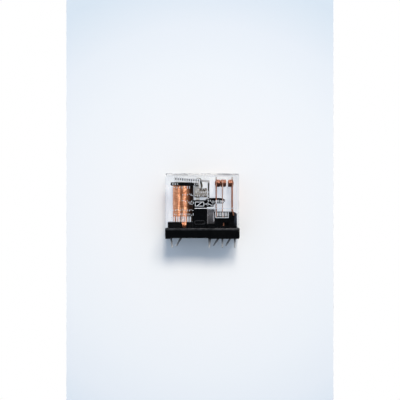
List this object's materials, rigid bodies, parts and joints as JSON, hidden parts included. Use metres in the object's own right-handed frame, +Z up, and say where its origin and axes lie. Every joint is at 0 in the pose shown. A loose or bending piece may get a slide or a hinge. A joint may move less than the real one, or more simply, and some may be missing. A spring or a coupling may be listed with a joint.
{
  "type": "relay",
  "caption": "Circuit-board relay: a clear cover over an upright coil, a hinged armature and changeover contact springs, on a black base that stands on its pins.",
  "frame": {"origin": "centre of the outline, level with the tips of the pins", "axes": "+Z up from the pins to the cover's top, +X from the coil to the contacts, -Y towards the viewer of the picture"},
  "size_m": [0.029, 0.013, 0.029],
  "materials": {
    "black_plastic": "moulded, satin",
    "bobbin_plastic": "moulded, satin",
    "clear_plastic": "clear, glossy",
    "copper_wire": "enamelled copper wire",
    "steel": "plated, satin",
    "spring_bronze": "rolled strip",
    "terminal_copper": "rolled strip, tinned at the pins",
    "contact_alloy": "headed rivet",
    "tinned_pin": "tinned"
  },
  "bodies": {
    "housing": {"base": "black_plastic", "cover": "clear_plastic", "bobbin": "bobbin_plastic", "winding": "copper_wire", "core": "steel", "yoke": "steel", "hinge_spring": "spring_bronze", "hinge_rivet": "steel", "coil_pin_front": "tinned_pin", "coil_pin_rear": "tinned_pin", "nc_terminal_front": "terminal_copper", "nc_terminal_rear": "terminal_copper", "common_terminal_front": "terminal_copper", "common_terminal_rear": "terminal_copper", "no_terminal_front": "terminal_copper", "no_terminal_rear": "terminal_copper", "nc_contact_front": "contact_alloy", "nc_contact_rear": "contact_alloy", "no_contact_front": "contact_alloy", "no_contact_rear": "contact_alloy"},
    "armature_body": {"armature": "steel", "card": "black_plastic"},
    "moving_pole_front": {"moving_spring_front": "spring_bronze", "moving_contact_front": "contact_alloy"},
    "moving_pole_rear": {"moving_spring_rear": "spring_bronze", "moving_contact_rear": "contact_alloy"}
  },
  "joints": [
    {"name": "armature_hinge", "type": "hinge", "parent": "housing", "child": "armature_body", "pos_m": [-0.0011, 0, 0.02596], "axis": [0, -1, 0], "range_deg": [0, 4], "stiffness_Nm_per_rad": 0.002, "springref_deg": -8.59},
    {"name": "front_contact_flex", "type": "hinge", "parent": "housing", "child": "moving_pole_front", "pos_m": [0.00797, -0.0031, 0.01282], "axis": [0, 1, 0], "range_deg": [0, 3.4]},
    {"name": "rear_contact_flex", "type": "hinge", "parent": "housing", "child": "moving_pole_rear", "pos_m": [0.00797, 0.0031, 0.01282], "axis": [0, 1, 0], "range_deg": [0, 3.4]}
  ],
  "couplings": [
    {"joint": "front_contact_flex", "follows": "armature_hinge", "ratio": 0.85},
    {"joint": "rear_contact_flex", "follows": "armature_hinge", "ratio": 0.85}
  ]
}
